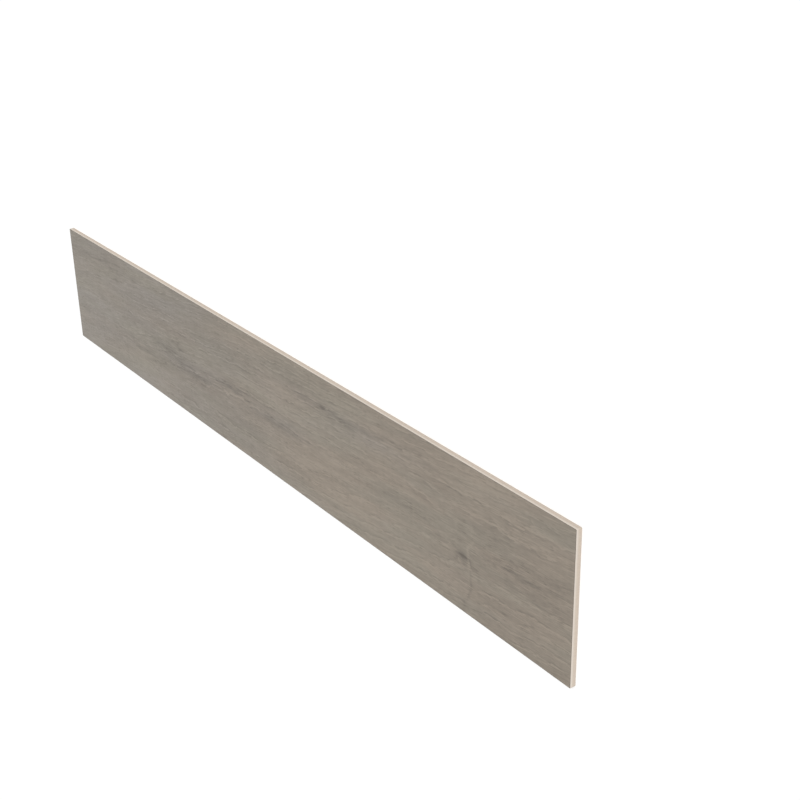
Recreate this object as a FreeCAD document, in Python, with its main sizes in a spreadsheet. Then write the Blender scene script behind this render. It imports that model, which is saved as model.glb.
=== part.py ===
import FreeCAD, Part
import os

import Sketcher

# A stair riser board: one rectangular decorated board, cut square and eased on every arris.
# It lies on its back with the decorated face up. X runs along the step, Y points to the edge
# that goes under the tread above, and Z points out of the decorated face.
# The origin is the middle of the back face. Lengths are in millimetres.

NODE = "riser_board"

# Driving dimensions: alias, value and what it measures
SIZES = (
    ("board_length", 1300.0, "across the width of the stair"),
    ("board_height", 200.0, "from the tread below to the tread above"),
    ("board_thickness", 8.0, "from the back to the decorated face"),
    ("arris_ease", 0.5, "leg of the small bevel that breaks each sharp edge"),
)


def add_sizes(doc):
    """The sheet of driving dimensions, one aliased cell for each."""
    sheet = doc.addObject("Spreadsheet::Sheet", "Sizes")
    for row, (alias, value, meaning) in enumerate(SIZES, start=1):
        sheet.set(f"A{row}", meaning)
        sheet.set(f"B{row}", str(value))
        sheet.setAlias(f"B{row}", alias)
    doc.recompute()
    return sheet


def origin_plane(body, role):
    """The body's own origin plane with the given role."""
    planes = [feature for feature in body.Origin.OriginFeatures if feature.Role == role]
    return planes[0]


def add_outline(body, sheet):
    """The saw-cut rectangle on the back face, centred on the origin."""
    outline = body.newObject("Sketcher::SketchObject", "Outline")
    outline.AttachmentSupport = (origin_plane(body, "XY_Plane"), [""])
    outline.MapMode = "FlatFace"

    right = sheet.board_length / 2
    top = sheet.board_height / 2
    corners = [
        FreeCAD.Vector(-right, -top, 0),
        FreeCAD.Vector(right, -top, 0),
        FreeCAD.Vector(right, top, 0),
        FreeCAD.Vector(-right, top, 0),
    ]
    sides = len(corners)
    for side in range(sides):
        outline.addGeometry(Part.LineSegment(corners[side], corners[(side + 1) % sides]), False)

    start, end, root = 1, 2, -1
    bottom_edge, right_end, top_edge, left_end = range(sides)
    for side in range(sides):
        outline.addConstraint(Sketcher.Constraint("Coincident", side, end, (side + 1) % sides, start))
    for edge in (bottom_edge, top_edge):
        outline.addConstraint(Sketcher.Constraint("Horizontal", edge))
    for edge in (right_end, left_end):
        outline.addConstraint(Sketcher.Constraint("Vertical", edge))
    outline.addConstraint(Sketcher.Constraint("Symmetric", bottom_edge, start, top_edge, start, root, start))

    length = Sketcher.Constraint("DistanceX", bottom_edge, start, bottom_edge, end, sheet.board_length)
    height = Sketcher.Constraint("DistanceY", right_end, start, right_end, end, sheet.board_height)
    for name, constraint in (("length", length), ("height", height)):
        index = outline.addConstraint(constraint)
        outline.renameConstraint(index, name)
        outline.setExpression(f"Constraints.{name}", f"{sheet.Name}.board_{name}")
    return outline


def add_board(doc, sheet):
    """The board itself: its outline raised to the full thickness, with every arris broken."""
    body = doc.addObject("PartDesign::Body", NODE)
    body.Label = NODE
    outline = add_outline(body, sheet)

    slab = body.newObject("PartDesign::Pad", "Slab")
    slab.Profile = outline
    slab.setExpression("Length", f"{sheet.Name}.board_thickness")
    doc.recompute()

    eased = body.newObject("PartDesign::Chamfer", "EasedArrises")
    eased.Base = (slab, [""])
    eased.UseAllEdges = True
    eased.setExpression("Size", f"{sheet.Name}.arris_ease")
    doc.recompute()
    return body


def check(doc, body):
    """Stops before anything is written if a feature failed or the board isn't one sound solid."""
    failed = [item.Label for item in doc.Objects if {"Invalid", "Error"} & set(item.State)]
    if failed:
        raise RuntimeError("failed to build: " + ", ".join(failed))
    shape = body.Shape
    if shape.isNull() or not shape.isValid() or len(shape.Solids) != 1:
        raise RuntimeError(body.Label + " is not one sound solid")


doc = FreeCAD.newDocument("StairRiserBoard")
sheet = add_sizes(doc)
board = add_board(doc, sheet)
check(doc, board)
os.makedirs("parts", exist_ok=True)
board.Shape.exportStep(f"parts/{board.Label}.step")
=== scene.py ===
import math
from collections import namedtuple

import bpy
import numpy as np
from mathutils import Matrix, Vector


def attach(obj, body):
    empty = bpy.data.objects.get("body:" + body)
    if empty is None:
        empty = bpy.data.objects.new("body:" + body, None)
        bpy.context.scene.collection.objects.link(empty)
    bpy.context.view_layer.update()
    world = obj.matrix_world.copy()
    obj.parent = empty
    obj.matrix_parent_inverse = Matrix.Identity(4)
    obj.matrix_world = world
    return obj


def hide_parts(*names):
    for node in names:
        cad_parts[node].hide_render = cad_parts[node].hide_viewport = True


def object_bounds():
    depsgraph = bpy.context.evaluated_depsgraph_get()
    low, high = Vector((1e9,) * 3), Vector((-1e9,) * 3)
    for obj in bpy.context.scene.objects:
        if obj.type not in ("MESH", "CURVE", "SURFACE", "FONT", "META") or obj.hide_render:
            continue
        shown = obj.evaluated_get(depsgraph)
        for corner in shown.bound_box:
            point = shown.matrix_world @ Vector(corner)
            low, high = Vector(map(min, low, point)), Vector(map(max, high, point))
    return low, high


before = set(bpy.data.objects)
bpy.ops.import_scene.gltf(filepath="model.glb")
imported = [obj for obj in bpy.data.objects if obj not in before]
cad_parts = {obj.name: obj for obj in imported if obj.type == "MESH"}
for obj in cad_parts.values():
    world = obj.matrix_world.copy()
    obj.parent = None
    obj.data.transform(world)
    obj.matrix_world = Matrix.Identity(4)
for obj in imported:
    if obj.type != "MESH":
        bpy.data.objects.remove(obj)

# A stair riser board that lies on its back, with its grey oak decor face up.
# Everything is in metres: X along the board, Y across it, Z out of the decor face.

NODE = "riser_board"
PIECE = "riser_board_finish"

cad_low, cad_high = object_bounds()
LENGTH, HEIGHT, THICKNESS = cad_high - cad_low
RIGHT_END = LENGTH / 2
TOP_EDGE = HEIGHT / 2

# Board: eased arrises and corners, films, and the face's grid, fine across the grain and coarse along it
EASE = 0.0005
CORNER_PULL = EASE / 2
DECOR_FILM = 0.00025
BACKING_FILM = 0.0002
GRID_COLUMNS = 200
GRID_ROWS = 430
FACE_SLOT, EDGE_SLOT, BACK_SLOT = range(3)

# Relief: the depth of a pore, the depth of plain wood below the pale lines, where dark lines
# go up to about twice as deep, and the lowest height that counts as the face
PORE_DEPTH = 0.00012
LINE_DEPTH = 0.00006
FACE_LEVEL = THICKNESS - EASE / 10

# Map for baking: where each side of the board lies on the unit square, with the edges
# anticlockwise from the lower one. Across an edge, the steps are the shares of its area
# from the face down to the back, and the flat wall is the step between the two arrises.
MAP_NAME = "OFBake"
Area = namedtuple("Area", "left right low high")
FACE_AREA = Area(0.003, 0.997, 0.260, 0.997)
BACK_AREA = Area(0.003, 0.997, 0.125, 0.250)
EDGE_AREAS = (
    Area(0.003, 0.997, 0.003, 0.038),
    Area(0.003, 0.497, 0.085, 0.120),
    Area(0.003, 0.997, 0.044, 0.079),
    Area(0.503, 0.997, 0.085, 0.120),
)
EDGE_STEPS = (1.0, 0.9, 0.8, 0.2, 0.1, 0.0)
WALL_STEP = 2

# What the patterns are made of:
# an oval is a soft spot, with its centre, half length, half height and strength;
# a pattern is noise, with its seed, features per metre along and across the board,
# octaves of detail, and how far it swings each way; a ramp is a smooth step between two values.
Oval = namedtuple("Oval", "x y half_length half_height strength")
Pattern = namedtuple("Pattern", "seed along across detail reach", defaults=(0.5,))
Ramp = namedtuple("Ramp", "start end low high", defaults=(0.0, 1.0))
NOISE_ROUGHNESS = 0.55

# Grain: it drifts and wavers, and climbs towards the right end
CLIMB = 0.075
DRIFT = Pattern(31.0, 1.1, 2.5, 1.0, 0.022)
WAVER = Pattern(87.0, 7.0, 20.0, 2.0, 0.0045)

# Growth rings of a trunk whose heart swings up and down below the face.
# Fray and jag, in metres, make the rings uneven. Splinters, in ring widths, break them along the fibres.
RING_WIDTH = 0.0115
HEART_LINE = -0.034
HEART_DEPTH = 0.042
HEART_SWING = 0.018
SWING_LENGTH = 1.15
SWING_START = 0.30
FRAY = Pattern(54.0, 28.0, 40.0, 2.0, 0.0040)
JAG = Pattern(61.0, 75.0, 60.0, 2.0, 0.0010)
SPLINTER = Pattern(83.0, 42.0, 700.0, 1.0, 0.13)

# Lines: across one ring, each is a dark line of late wood beside a pale line of early wood
LATE_WOOD = Ramp(0.74, 0.95, 0.0, 0.7)
RING_EDGE = Ramp(0.96, 1.00, 1.0, 0.0)
EARLY_WOOD = Ramp(0.02, 0.28, -1.0, 0.0)
STEEP_RINGS = Ramp(0.15, 0.60, 0.15, 1.0)
RIGHTWARD = Ramp(-0.40, 0.05, -0.05, 0.06)
BROAD_LINES = Pattern(53.0, 5.0, 30.0, 2.0)
BROAD_PATCHES = Ramp(0.38, 0.54)
WISPS = Pattern(68.0, 8.0, 50.0, 2.0)
WISP_RINGS = 7
WISP_SHARE = 0.4
WISP_LINES = Pattern(19.0, 5.0, 34.0, 2.0)
WISP_PATCHES = Ramp(0.42, 0.62)
BREAKS = Pattern(37.0, 34.0, 150.0, 2.0)
BROKEN = Ramp(0.36, 0.60, 0.3, 1.25)

# Pores, which crowd in the early wood, finer ticks beside them, and pale flecks
PORES = Pattern(17.0, 36.0, 800.0, 1.0)
PORE_SPOTS = Ramp(0.58, 0.70)
PORE_ZONE = Ramp(0.0, 0.6, 1.0, 0.3)
TICKS = Pattern(91.0, 105.0, 2300.0, 0.0)
TICK_SPOTS = Ramp(0.62, 0.70)
TICK_ZONE = Ramp(0.0, 0.8, 1.0, 0.35)
FLECKS = Pattern(64.0, 24.0, 600.0, 1.0)
FLECK_SPOTS = Ramp(0.60, 0.74)

# Knots, with a halo round each, and rings that swell round it and fade out on it
KNOTS = (
    Oval(0.460, -0.023, 0.0085, 0.0028, 1.00),
    Oval(0.461, 0.011, 0.0060, 0.0012, 0.40),
    Oval(-0.253, 0.004, 0.0095, 0.0018, 0.60),
    Oval(-0.040, -0.010, 0.0060, 0.0014, 0.40),
    Oval(0.160, 0.060, 0.0080, 0.0022, 0.60),
    Oval(-0.470, 0.055, 0.0070, 0.0018, 0.45),
)
HALO_LENGTH = 2.5
HALO_HEIGHT = 3.0
HALO_STRENGTH = 0.25
SWELL = 0.010
SWELL_LENGTH = 2.4
SWELL_HEIGHT = 5.0
KNOT_CLEARING = Ramp(0.1, 0.6, 1.0, 0.0)

# Faint mark across the grain beside the large knot, pale above and dark below
MARK_PARTS = (
    Oval(0.4725, -0.018, 0.0024, 0.028, -1.0),
    Oval(0.4747, -0.060, 0.0024, 0.028, 1.0),
)
MARK_FOOT = -0.032
MARK_LEAN = 0.12
MARK_SWAY = Pattern(44.0, 26.0, 26.0, 1.0, 0.014)

# Soft tones, from broad clouds to single fibres, and dark bands that the grain breaks up, partly the oak's
# own figure and partly painted shade
TONES = {
    "clouds": Pattern(22.0, 2.2, 12.0, 2.0),
    "streaks": Pattern(95.0, 7.0, 75.0, 2.0),
    "dashes": Pattern(41.0, 34.0, 240.0, 2.0),
    "crinkle": Pattern(28.0, 95.0, 260.0, 1.0),
    "fibres": Pattern(48.0, 40.0, 2200.0, 1.0),
}
DARK_BANDS_AND_SHADE = (
    Oval(-0.390, -0.040, 0.060, 0.014, 0.7),
    Oval(-0.300, -0.018, 0.060, 0.018, 0.7),
    Oval(-0.205, -0.020, 0.070, 0.014, 0.8),
    Oval(-0.075, -0.010, 0.065, 0.010, 1.0),
    Oval(0.045, -0.006, 0.060, 0.009, 0.9),
    Oval(0.555, 0.002, 0.070, 0.014, 0.6),
    Oval(0.220, 0.062, 0.160, 0.016, 0.6),
    Oval(-0.480, 0.074, 0.120, 0.012, 0.6),
)
SHADE_GRAIN = Ramp(-0.35, 0.35, 0.1, 1.5)

# Hue: cool grey towards the left end and in the dark bands of figure and painted shade, with greenish patches
COOL_LEFT = Ramp(-RIGHT_END, RIGHT_END, 0.75, -0.05)
COOL_PATCHES = Pattern(79.0, 3.0, 16.0, 2.0)
COOL_BANDS_AND_SHADE = 0.25
COOLNESS = Ramp(0.0, 1.0)
GREEN_PATCHES = Pattern(34.0, 4.0, 24.0, 2.0)
GREENNESS = Ramp(0.40, 0.70, 0.0, 0.5)

# Sawn core, paler towards the face, with a line of film at each side; and backing paper
SAW_MARKS = Pattern(26.0, 900.0, 60.0, 2.0)
CORE_SPECKS = Pattern(59.0, 1400.0, 2400.0, 3.0)
PALER_TOWARDS_FACE = Ramp(0.45 * THICKNESS, 0.85 * THICKNESS, 0.0, 0.8)
FILM_BLUR = 0.1
DECOR_LINE = Ramp(THICKNESS - (1 + FILM_BLUR) * DECOR_FILM, THICKNESS - (1 - FILM_BLUR) * DECOR_FILM)
BACKING_LINE = Ramp((1 - FILM_BLUR) * BACKING_FILM, (1 + FILM_BLUR) * BACKING_FILM, 1.0, 0.0)
PAPER_MOTTLE = Pattern(13.0, 60.0, 90.0, 3.0)
PAPER_FIBRES = Pattern(72.0, 250.0, 900.0, 2.0)

# Colours, linear
PALE_OAK = (0.309, 0.262, 0.211)
COOL_OAK = (0.295, 0.270, 0.240)
GREEN_OAK = (0.285, 0.262, 0.213)
DARK_OAK = (0.135, 0.117, 0.097)
CORE = (0.650, 0.565, 0.480)
CORE_DARK = (0.520, 0.430, 0.350)
CORE_PALE = (0.740, 0.670, 0.595)
BACKING = (0.520, 0.455, 0.380)
BACKING_DARK = (0.440, 0.375, 0.305)
WHITE = (1.0, 1.0, 1.0)

# Finishes: how far the colour goes from pale to dark, and how rough and raised the surface is,
# each as a plain level and what the parts of the pattern add to it
Finish = namedtuple("Finish", "tone shares roughness roughening relief bump specular")
DECOR_FINISH = Finish(
    tone=0.258,
    shares={
        "clouds": 0.45,
        "streaks": 0.44,
        "dashes": 0.30,
        "crinkle": 0.19,
        "fibres": 0.14,
        # the dark bands, partly painted shade
        "bands_and_shade": 0.28,
        "lines": 0.32,
        "mark": 0.27,
        "pores": 0.24,
        "ticks": 0.30,
        "flecks": -0.27,
        "knots": 0.75,
    },
    roughness=0.58,
    roughening={"pores": 0.14, "ticks": 0.10, "fibres": 0.06},
    relief={"pores": -1.0, "ticks": -0.6, "fibres": 0.5},
    bump=0.25,
    specular=0.35,
)
CORE_FINISH = Finish(
    tone=0.25,
    shares={"saw": 0.60, "specks": 1.10},
    roughness=0.82,
    roughening={"saw": 0.10},
    relief={"saw": 1.0, "specks": 0.6},
    bump=0.50,
    specular=0.20,
)
BACKING_FINISH = Finish(
    tone=0.40,
    shares={"mottle": 0.70, "fibres": 0.50},
    roughness=0.70,
    roughening={"fibres": 0.10},
    relief={"fibres": 1.0},
    bump=0.20,
    specular=0.25,
)
BUMP_DISTANCE = 0.0001

# Light: a broad key from beyond the top right corner, and an even world
KEY_FROM = Vector((0.75, 0.60, 1.0))
KEY_STRENGTH = 1.9
KEY_SPREAD = math.radians(45.0)
WORLD_STRENGTH = 0.55
BACKDROP = Ramp(0.0, 1.0, WORLD_STRENGTH, 1.0)
FLOOR_SIZE = 60.0
FLOOR_COLOUR = (0.86, 0.86, 0.86)
FLOOR_GLOW = 0.19

# Camera: the photograph's place and turn, seen from the board
CAMERA_PLACE = Vector((1.5448, 0.8152, 0.8549))
CAMERA_AIM = Vector((0.3383, 0.1334, 0.008))
CAMERA_ROLL = math.radians(107.59)
CAMERA_LENS = 61.47
CAMERA_SENSOR = 36.0

# Sockets of a colour mix node, by number because their names repeat
MIX_FACTOR, MIX_FIRST, MIX_SECOND = 0, 6, 7
MIX_RESULT = 2


class Graph:
    """Adds nodes to a node tree, and hands back their output sockets."""

    def __init__(self, tree):
        self.tree = tree

    def node(self, kind, inputs=None, **settings):
        """A new node, with its settings made and its inputs fed."""
        node = self.tree.nodes.new(kind)
        for name, value in settings.items():
            setattr(node, name, value)
        for name, value in (inputs or {}).items():
            self.feed(node.inputs[name], value)
        return node

    def feed(self, socket, value):
        """Links an input to another socket, or sets it to a plain value."""
        if isinstance(value, bpy.types.NodeSocket):
            self.tree.links.new(value, socket)
        elif socket.type == "RGBA":
            socket.default_value = (*value, 1.0)
        else:
            socket.default_value = value

    def math(self, operation, *values):
        """One step of arithmetic."""
        node = self.node("ShaderNodeMath", operation=operation)
        for socket, value in zip(node.inputs, values):
            self.feed(socket, value)
        return node.outputs[0]

    def add(self, *values):
        """The sum of the values."""
        total = values[0]
        for value in values[1:]:
            total = self.math("ADD", total, value)
        return total

    def times(self, *values):
        """The product of the values."""
        product = values[0]
        for value in values[1:]:
            product = self.math("MULTIPLY", product, value)
        return product

    def split(self, place):
        """The three coordinates of a place."""
        return self.node("ShaderNodeSeparateXYZ", {"Vector": place}).outputs

    def weighted(self, level, parts, shares):
        """A level, plus each part by its share."""
        total = level
        for name, share in shares.items():
            total = self.add(total, self.times(parts[name], share))
        return total

    def ramp(self, value, ramp):
        """The ramp's smooth step at a value."""
        inputs = {
            "Value": value,
            "From Min": ramp.start,
            "From Max": ramp.end,
            "To Min": ramp.low,
            "To Max": ramp.high,
        }
        return self.node("ShaderNodeMapRange", inputs, interpolation_type="SMOOTHSTEP").outputs[0]

    def noise(self, x, y, pattern):
        """The pattern's noise, from 0 to 1."""
        place = {
            "X": self.math("MULTIPLY_ADD", x, pattern.along, pattern.seed),
            "Y": self.math("MULTIPLY_ADD", y, pattern.across, pattern.seed),
        }
        vector = self.node("ShaderNodeCombineXYZ", place).outputs[0]
        inputs = {"Vector": vector, "Scale": 1.0, "Detail": pattern.detail, "Roughness": NOISE_ROUGHNESS}
        return self.node("ShaderNodeTexNoise", inputs, noise_dimensions="2D").outputs[0]

    def wobble(self, x, y, pattern):
        """The pattern's noise, centred on 0, within its reach."""
        return self.times(self.add(self.noise(x, y, pattern), -0.5), 2.0 * pattern.reach)

    def spot(self, x, y, oval):
        """A soft oval, with its strength in the middle."""
        far_x = self.times(self.add(x, -oval.x), 1 / oval.half_length)
        far_y = self.times(self.add(y, -oval.y), 1 / oval.half_height)
        distance = self.add(self.times(far_x, far_x), self.times(far_y, far_y))
        return self.times(self.math("EXPONENT", self.times(distance, -1.0)), oval.strength)

    def mix(self, factor, first, second):
        """A colour between two colours."""
        node = self.node("ShaderNodeMix", data_type="RGBA")
        self.feed(node.inputs[MIX_FACTOR], factor)
        self.feed(node.inputs[MIX_FIRST], first)
        self.feed(node.inputs[MIX_SECOND], second)
        return node.outputs[MIX_RESULT]


def stretched(oval, length, height):
    """An oval made longer and higher."""
    return oval._replace(half_length=oval.half_length * length, half_height=oval.half_height * height)


def knot_figure(g, x, y):
    """The dark knots with their halos, and how far the rings swell round them."""
    knots, swell = 0.0, 0.0
    for knot in KNOTS:
        halo = g.spot(x, y, stretched(knot, HALO_LENGTH, HALO_HEIGHT))
        knots = g.add(knots, g.spot(x, y, knot), g.times(halo, HALO_STRENGTH))
        swell = g.add(swell, g.times(g.spot(x, y, stretched(knot, SWELL_LENGTH, SWELL_HEIGHT)), SWELL))
    return knots, swell


def growth_rings(g, x, grain, swell, splinter):
    """How far through its growth ring a point lies, from 0 to 1, and how steeply the rings rise there."""
    swing = g.math("SINE", g.times(g.add(x, -SWING_START), 2 * math.pi / SWING_LENGTH))
    depth = g.add(HEART_DEPTH, g.times(swing, HEART_SWING))
    across = g.add(grain, -HEART_LINE)
    radius = g.add(g.math("SQRT", g.add(g.times(across, across), g.times(depth, depth))), swell)
    frayed = g.add(radius, g.wobble(x, grain, FRAY), g.wobble(x, grain, JAG))
    phase = g.math("FRACT", g.add(g.times(frayed, 1 / RING_WIDTH), splinter))
    slope = g.math("DIVIDE", g.math("ABSOLUTE", across), radius)
    return phase, slope


def line_pair(g, phase):
    """The two lines of a ring: above 0 on the dark late wood, down to -1 on the pale early wood beside it."""
    late_wood = g.times(g.ramp(phase, LATE_WOOD), g.ramp(phase, RING_EDGE))
    return g.add(late_wood, g.ramp(phase, EARLY_WOOD))


def ring_lines(g, x, grain, phase, slope, splinter):
    """Broad lines at the growth rings and fine wisps between them, in broken patches, more to the right."""
    rightward = g.ramp(x, RIGHTWARD)
    broad_patches = g.ramp(g.add(g.noise(x, grain, BROAD_LINES), rightward), BROAD_PATCHES)
    broad = g.times(line_pair(g, phase), broad_patches, g.ramp(slope, STEEP_RINGS))
    wisp_phase = g.math("FRACT", g.add(g.times(g.noise(x, grain, WISPS), WISP_RINGS), splinter))
    wisp_patches = g.ramp(g.add(g.noise(x, grain, WISP_LINES), rightward), WISP_PATCHES)
    wisps = g.times(line_pair(g, wisp_phase), wisp_patches, WISP_SHARE)
    return g.times(g.add(broad, wisps), g.ramp(g.noise(x, grain, BREAKS), BROKEN))


def cross_mark(g, x, y):
    """A faint mark across the grain: 1 where it is dark, -1 where it is pale."""
    lean = g.times(g.add(y, -MARK_FOOT), -MARK_LEAN)
    offset = g.add(x, lean, g.wobble(y, y, MARK_SWAY))
    pale, dark = (g.spot(offset, y, part) for part in MARK_PARTS)
    return g.add(pale, dark)


def dark_bands_and_shade(g, x, y, grain_tone):
    """Broad dark bands, partly the oak's own figure and partly painted shade, broken up by the tone of the
    grain.
    """
    bands = 0.0
    for shade in DARK_BANDS_AND_SHADE:
        bands = g.add(bands, g.spot(x, y, shade))
    return g.times(bands, g.ramp(grain_tone, SHADE_GRAIN))


def wood_figure(g, x, y):
    """What the oak shows at a point of the face, part by part."""
    warped = g.add(y, g.wobble(x, y, DRIFT), g.wobble(x, y, WAVER))
    grain = g.add(warped, g.times(x, -CLIMB))
    knots, swell = knot_figure(g, x, warped)
    splinter = g.wobble(x, grain, SPLINTER)
    phase, slope = growth_rings(g, x, grain, swell, splinter)

    figure = {name: g.wobble(x, grain, pattern) for name, pattern in TONES.items()}
    figure["knots"] = knots
    lines = ring_lines(g, x, grain, phase, slope, splinter)
    figure["lines"] = g.times(lines, g.ramp(knots, KNOT_CLEARING))
    figure["pores"] = g.times(g.ramp(g.noise(x, grain, PORES), PORE_SPOTS), g.ramp(phase, PORE_ZONE))
    figure["ticks"] = g.times(g.ramp(g.noise(x, grain, TICKS), TICK_SPOTS), g.ramp(phase, TICK_ZONE))
    figure["flecks"] = g.ramp(g.noise(x, grain, FLECKS), FLECK_SPOTS)
    figure["mark"] = cross_mark(g, x, y)
    # Dark bands: partly the oak's own figure, partly painted shade, which is also cooler in hue
    figure["bands_and_shade"] = dark_bands_and_shade(g, x, warped, g.add(figure["streaks"], figure["dashes"]))

    cool_bands_and_shade = g.times(figure["bands_and_shade"], COOL_BANDS_AND_SHADE)
    cool = g.add(g.ramp(x, COOL_LEFT), g.wobble(x, grain, COOL_PATCHES), cool_bands_and_shade)
    figure["coolness"] = g.ramp(cool, COOLNESS)
    figure["greenness"] = g.ramp(g.noise(x, grain, GREEN_PATCHES), GREENNESS)
    return figure


def empty_graph(owner):
    """The node tree of a material or a world, with nothing in it yet."""
    owner.use_nodes = True
    owner.node_tree.nodes.clear()
    return Graph(owner.node_tree)


def new_material(name):
    """A node material: its graph, its shader and the three coordinates on the board in metres."""
    material = bpy.data.materials.new(name)
    g = empty_graph(material)
    shader = g.node("ShaderNodeBsdfPrincipled")
    g.node("ShaderNodeOutputMaterial", {"Surface": shader.outputs[0]})
    place = g.split(g.node("ShaderNodeTexCoord").outputs["Object"])
    return material, g, shader, place


def apply_finish(g, shader, finish, parts, colour):
    """Feeds a material's shader: colour, roughness, specular level and a fine bump."""
    g.feed(shader.inputs["Base Color"], colour)
    g.feed(shader.inputs["Roughness"], g.weighted(finish.roughness, parts, finish.roughening))
    shader.inputs["Specular IOR Level"].default_value = finish.specular
    relief = g.weighted(0.0, parts, finish.relief)
    bump = g.node("ShaderNodeBump", {"Height": relief, "Strength": finish.bump, "Distance": BUMP_DISTANCE})
    g.feed(shader.inputs["Normal"], bump.outputs[0])


def oak_decor():
    """Matt grey oak decor: soft clouds of tone, faint growth rings, pores, pale flecks and small knots."""
    material, g, shader, (x, y, _) = new_material("oak_decor")
    figure = wood_figure(g, x, y)
    base = g.mix(figure["coolness"], PALE_OAK, COOL_OAK)
    base = g.mix(figure["greenness"], base, GREEN_OAK)
    tone = g.weighted(DECOR_FINISH.tone, figure, DECOR_FINISH.shares)
    apply_finish(g, shader, DECOR_FINISH, figure, g.mix(tone, base, DARK_OAK))
    return material


def sawn_core():
    """Sawn wood-fibre core between the two films: fine saw marks, specks, film lines at the arrises."""
    material, g, shader, (x, y, z) = new_material("sawn_core")
    run = g.add(x, y)
    parts = {"saw": g.wobble(run, z, SAW_MARKS), "specks": g.wobble(run, z, CORE_SPECKS)}
    tone = g.weighted(CORE_FINISH.tone, parts, CORE_FINISH.shares)
    colour = g.mix(tone, CORE, CORE_DARK)
    colour = g.mix(g.ramp(z, PALER_TOWARDS_FACE), colour, CORE_PALE)
    colour = g.mix(g.ramp(z, DECOR_LINE), colour, DARK_OAK)
    colour = g.mix(g.ramp(z, BACKING_LINE), colour, BACKING_DARK)
    apply_finish(g, shader, CORE_FINISH, parts, colour)
    return material


def backing_film():
    """Plain backing film: an even buff paper with faint fibres."""
    material, g, shader, (x, y, _) = new_material("backing_film")
    parts = {"mottle": g.wobble(x, y, PAPER_MOTTLE), "fibres": g.wobble(x, y, PAPER_FIBRES)}
    tone = g.weighted(BACKING_FINISH.tone, parts, BACKING_FINISH.shares)
    apply_finish(g, shader, BACKING_FINISH, parts, g.mix(tone, BACKING, BACKING_DARK))
    return material


class Shell:
    """Collects a mesh's points, and its faces with their material, shading and places on the map."""

    def __init__(self):
        self.points = []
        self.faces = []
        self.slots = []
        self.smooth = []
        self.places = []

    def face(self, corners, slot, smooth, places):
        """Adds a face between points that are already there."""
        self.faces.append(corners)
        self.slots.append(slot)
        self.smooth.append(smooth)
        self.places.extend(places)

    def mesh(self, name):
        """The mesh of all that was collected."""
        mesh = bpy.data.meshes.new(name)
        mesh.from_pydata(self.points, [], self.faces)
        mesh.polygons.foreach_set("material_index", self.slots)
        mesh.polygons.foreach_set("use_smooth", self.smooth)
        mesh.uv_layers.new(name=MAP_NAME).uv.foreach_set("vector", np.ravel(self.places))
        mesh.update()
        return mesh


def on_map(area, along, across):
    """The place in an area of the map at shares of its width and height."""
    return (area.left + along * (area.right - area.left), area.low + across * (area.high - area.low))


def flat_place(area, x, y):
    """The place in an area of the map of a point on the face or the back."""
    return on_map(area, x / LENGTH + 0.5, y / HEIGHT + 0.5)


def face_lines(half, cells):
    """Grid lines from one eased arris to the other, with one more line close to each end."""
    inner = np.linspace(-half + 2 * EASE, half - 2 * EASE, cells - 1)
    return np.concatenate(([-half + EASE], inner, [half - EASE])).tolist()


def add_face(shell, columns, rows):
    """The decor face, as a grid."""
    across = len(rows)
    shell.points += [(x, y, THICKNESS) for x in columns for y in rows]
    for column in range(len(columns) - 1):
        for row in range(across - 1):
            first = column * across + row
            corners = (first, first + across, first + across + 1, first + 1)
            places = [flat_place(FACE_AREA, *shell.points[corner][:2]) for corner in corners]
            shell.face(corners, FACE_SLOT, True, places)


def border_sides(columns, rows):
    """Grid places along each side of the face, anticlockwise from the lower left corner."""
    last_column, last_row = len(columns) - 1, len(rows) - 1
    return (
        [(column, 0) for column in range(last_column)],
        [(last_column, row) for row in range(last_row)],
        [(column, last_row) for column in range(last_column, 0, -1)],
        [(0, row) for row in range(last_row, 0, -1)],
    )


def arris_profile():
    """Inset and height of each ring of the edge, from face to back, with quarter-round arrises."""
    bend = EASE * (1 - math.cos(math.pi / 4))
    upper = [(bend, THICKNESS - bend), (0.0, THICKNESS - EASE)]
    lower = [(0.0, EASE), (bend, bend), (EASE, 0.0)]
    return upper + lower


def edge_point(columns, rows, place, inset, height):
    """A border point pushed out to an inset from the board's box, at a height, with softened corners."""
    column, row = place
    x, y = columns[column], rows[row]
    at_end = column in (0, len(columns) - 1)
    at_edge = row in (0, len(rows) - 1)
    pull = inset + (CORNER_PULL if at_end and at_edge else 0.0)
    if at_end:
        x = math.copysign(RIGHT_END - pull, x)
    if at_edge:
        y = math.copysign(TOP_EDGE - pull, y)
    return (x, y, height)


def add_edges(shell, columns, rows):
    """The eased arrises and the sawn edges, ring by ring, down to the back's border."""
    sides = border_sides(columns, rows)
    loop = [place for side in sides for place in side]
    cells = [(area, cell, len(side)) for side, area in zip(sides, EDGE_AREAS) for cell in range(len(side))]
    ring = [column * len(rows) + row for column, row in loop]
    for step, (inset, height) in enumerate(arris_profile()):
        lower = list(range(len(shell.points), len(shell.points) + len(loop)))
        shell.points += [edge_point(columns, rows, place, inset, height) for place in loop]
        for here, (area, cell, count) in enumerate(cells):
            after = (here + 1) % len(loop)
            corners = (ring[here], lower[here], lower[after], ring[after])
            shares = [(cell, step), (cell, step + 1), (cell + 1, step + 1), (cell + 1, step)]
            places = [on_map(area, along / count, EDGE_STEPS[down]) for along, down in shares]
            shell.face(corners, EDGE_SLOT, step != WALL_STEP, places)
        ring = lower
    return ring


def add_back(shell, ring):
    """The flat back, inside the last ring of the edges."""
    corners = tuple(reversed(ring))
    places = [flat_place(BACK_AREA, *shell.points[corner][:2]) for corner in corners]
    shell.face(corners, BACK_SLOT, False, places)


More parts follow.
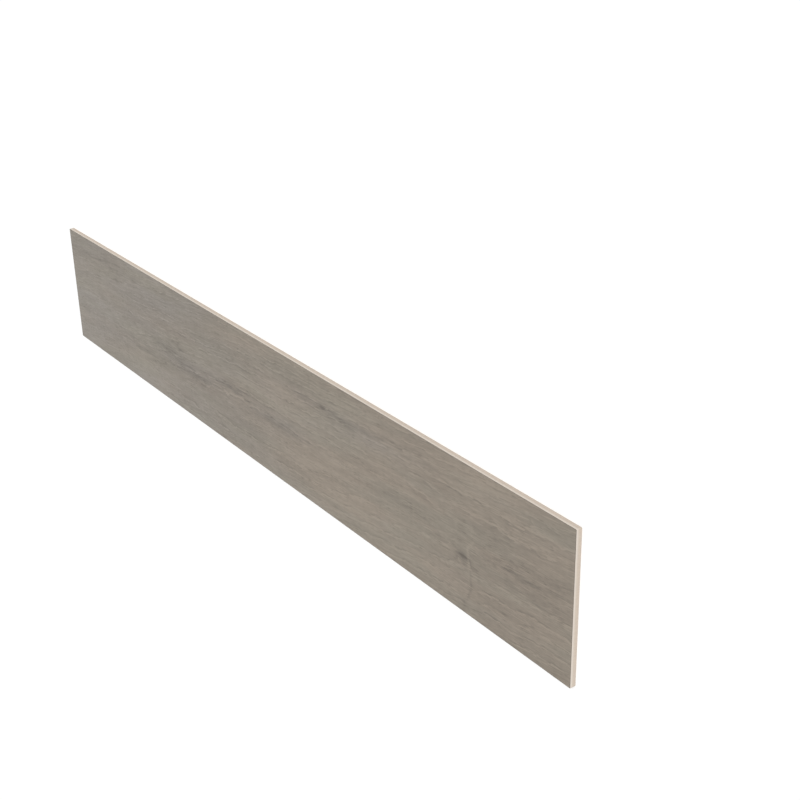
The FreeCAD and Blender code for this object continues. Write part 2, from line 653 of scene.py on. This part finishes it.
def board_mesh():
    """The board as a closed mesh: a fine grid on the face, eased arrises, sawn edges and a back."""
    columns = face_lines(RIGHT_END, GRID_COLUMNS)
    rows = face_lines(TOP_EDGE, GRID_ROWS)
    shell = Shell()
    add_face(shell, columns, rows)
    add_back(shell, add_edges(shell, columns, rows))
    return shell.mesh(PIECE)


def emboss_grain(board):
    """Presses the dark lines and the pores into the face, in step with its print."""
    tree = bpy.data.node_groups.new("embossed_grain", "GeometryNodeTree")
    for side in ("INPUT", "OUTPUT"):
        tree.interface.new_socket("Geometry", in_out=side, socket_type="NodeSocketGeometry")
    g = Graph(tree)
    start = g.node("NodeGroupInput")
    end = g.node("NodeGroupOutput")
    x, y, z = g.split(g.node("GeometryNodeInputPosition").outputs[0])
    figure = wood_figure(g, x, y)
    line_depth = g.math("MAXIMUM", g.times(g.add(figure["lines"], 1.0), LINE_DEPTH), 0.0)
    depth = g.add(line_depth, g.times(figure["pores"], PORE_DEPTH))
    on_face = g.math("GREATER_THAN", z, FACE_LEVEL)
    press = g.node("ShaderNodeCombineXYZ", {"Z": g.times(depth, on_face, -1.0)}).outputs[0]
    moved = g.node("GeometryNodeSetPosition", {"Geometry": start.outputs[0], "Offset": press})
    g.feed(end.inputs[0], moved.outputs[0])
    board.modifiers.new("embossed_grain", "NODES").node_group = tree


def add_object(name, data):
    """A new object in the scene."""
    item = bpy.data.objects.new(name, data)
    bpy.context.collection.objects.link(item)
    return item


def build_board():
    """The finished board, which stands for the CAD board."""
    mesh = board_mesh()
    for material in (oak_decor(), sawn_core(), backing_film()):
        mesh.materials.append(material)
    board = add_object(PIECE, mesh)
    emboss_grain(board)
    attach(board, "root")
    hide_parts(NODE)


def seen_directly(g):
    """1 for rays that show the backdrop itself: straight to the camera, mirrored or through glass."""
    path = g.node("ShaderNodeLightPath").outputs
    seen = g.math("MAXIMUM", path["Is Camera Ray"], path["Is Glossy Ray"])
    return g.math("MAXIMUM", seen, path["Is Transmission Ray"])


def add_floor():
    """A plain pale floor that shows white to the camera and keeps the board's shadow."""
    bpy.ops.mesh.primitive_plane_add(size=FLOOR_SIZE)
    floor = bpy.context.object
    floor.name = "floor"
    material = bpy.data.materials.new("white_floor")
    g = empty_graph(material)
    diffuse = g.node("ShaderNodeBsdfDiffuse", {"Color": FLOOR_COLOUR})
    glow = g.node("ShaderNodeEmission", {"Strength": g.times(seen_directly(g), FLOOR_GLOW)})
    both = g.node("ShaderNodeAddShader")
    for socket, shader in zip(both.inputs, (diffuse, glow)):
        g.feed(socket, shader.outputs[0])
    g.node("ShaderNodeOutputMaterial", {"Surface": both.outputs[0]})
    floor.data.materials.append(material)


def add_world():
    """Even studio light from all round, white where the camera sees past the floor."""
    world = bpy.data.worlds.new("studio")
    g = empty_graph(world)
    strength = g.ramp(seen_directly(g), BACKDROP)
    background = g.node("ShaderNodeBackground", {"Color": WHITE, "Strength": strength})
    g.node("ShaderNodeOutputWorld", {"Surface": background.outputs[0]})
    bpy.context.scene.world = world


def add_key_light():
    """One broad, distant lamp, which lights the floor as evenly as the board."""
    lamp = bpy.data.lights.new("key", "SUN")
    lamp.energy = KEY_STRENGTH
    lamp.angle = KEY_SPREAD
    holder = add_object("key", lamp)
    holder.rotation_euler = (-KEY_FROM).to_track_quat("-Z", "Y").to_euler()


def add_camera():
    """The photograph's camera. It looks down on the face, turned so that the board runs as it does there."""
    data = bpy.data.cameras.new("camera")
    data.lens = CAMERA_LENS
    data.sensor_width = CAMERA_SENSOR
    camera = add_object("camera", data)
    level = (CAMERA_AIM - CAMERA_PLACE).to_track_quat("-Z", "Y").to_matrix().to_4x4()
    turn = Matrix.Rotation(-CAMERA_ROLL, 4, "Z")
    camera.matrix_world = Matrix.Translation(CAMERA_PLACE) @ level @ turn
    bpy.context.scene.camera = camera


build_board()
add_floor()
add_world()
add_key_light()
add_camera()
bpy.context.scene.view_settings.view_transform = "Standard"
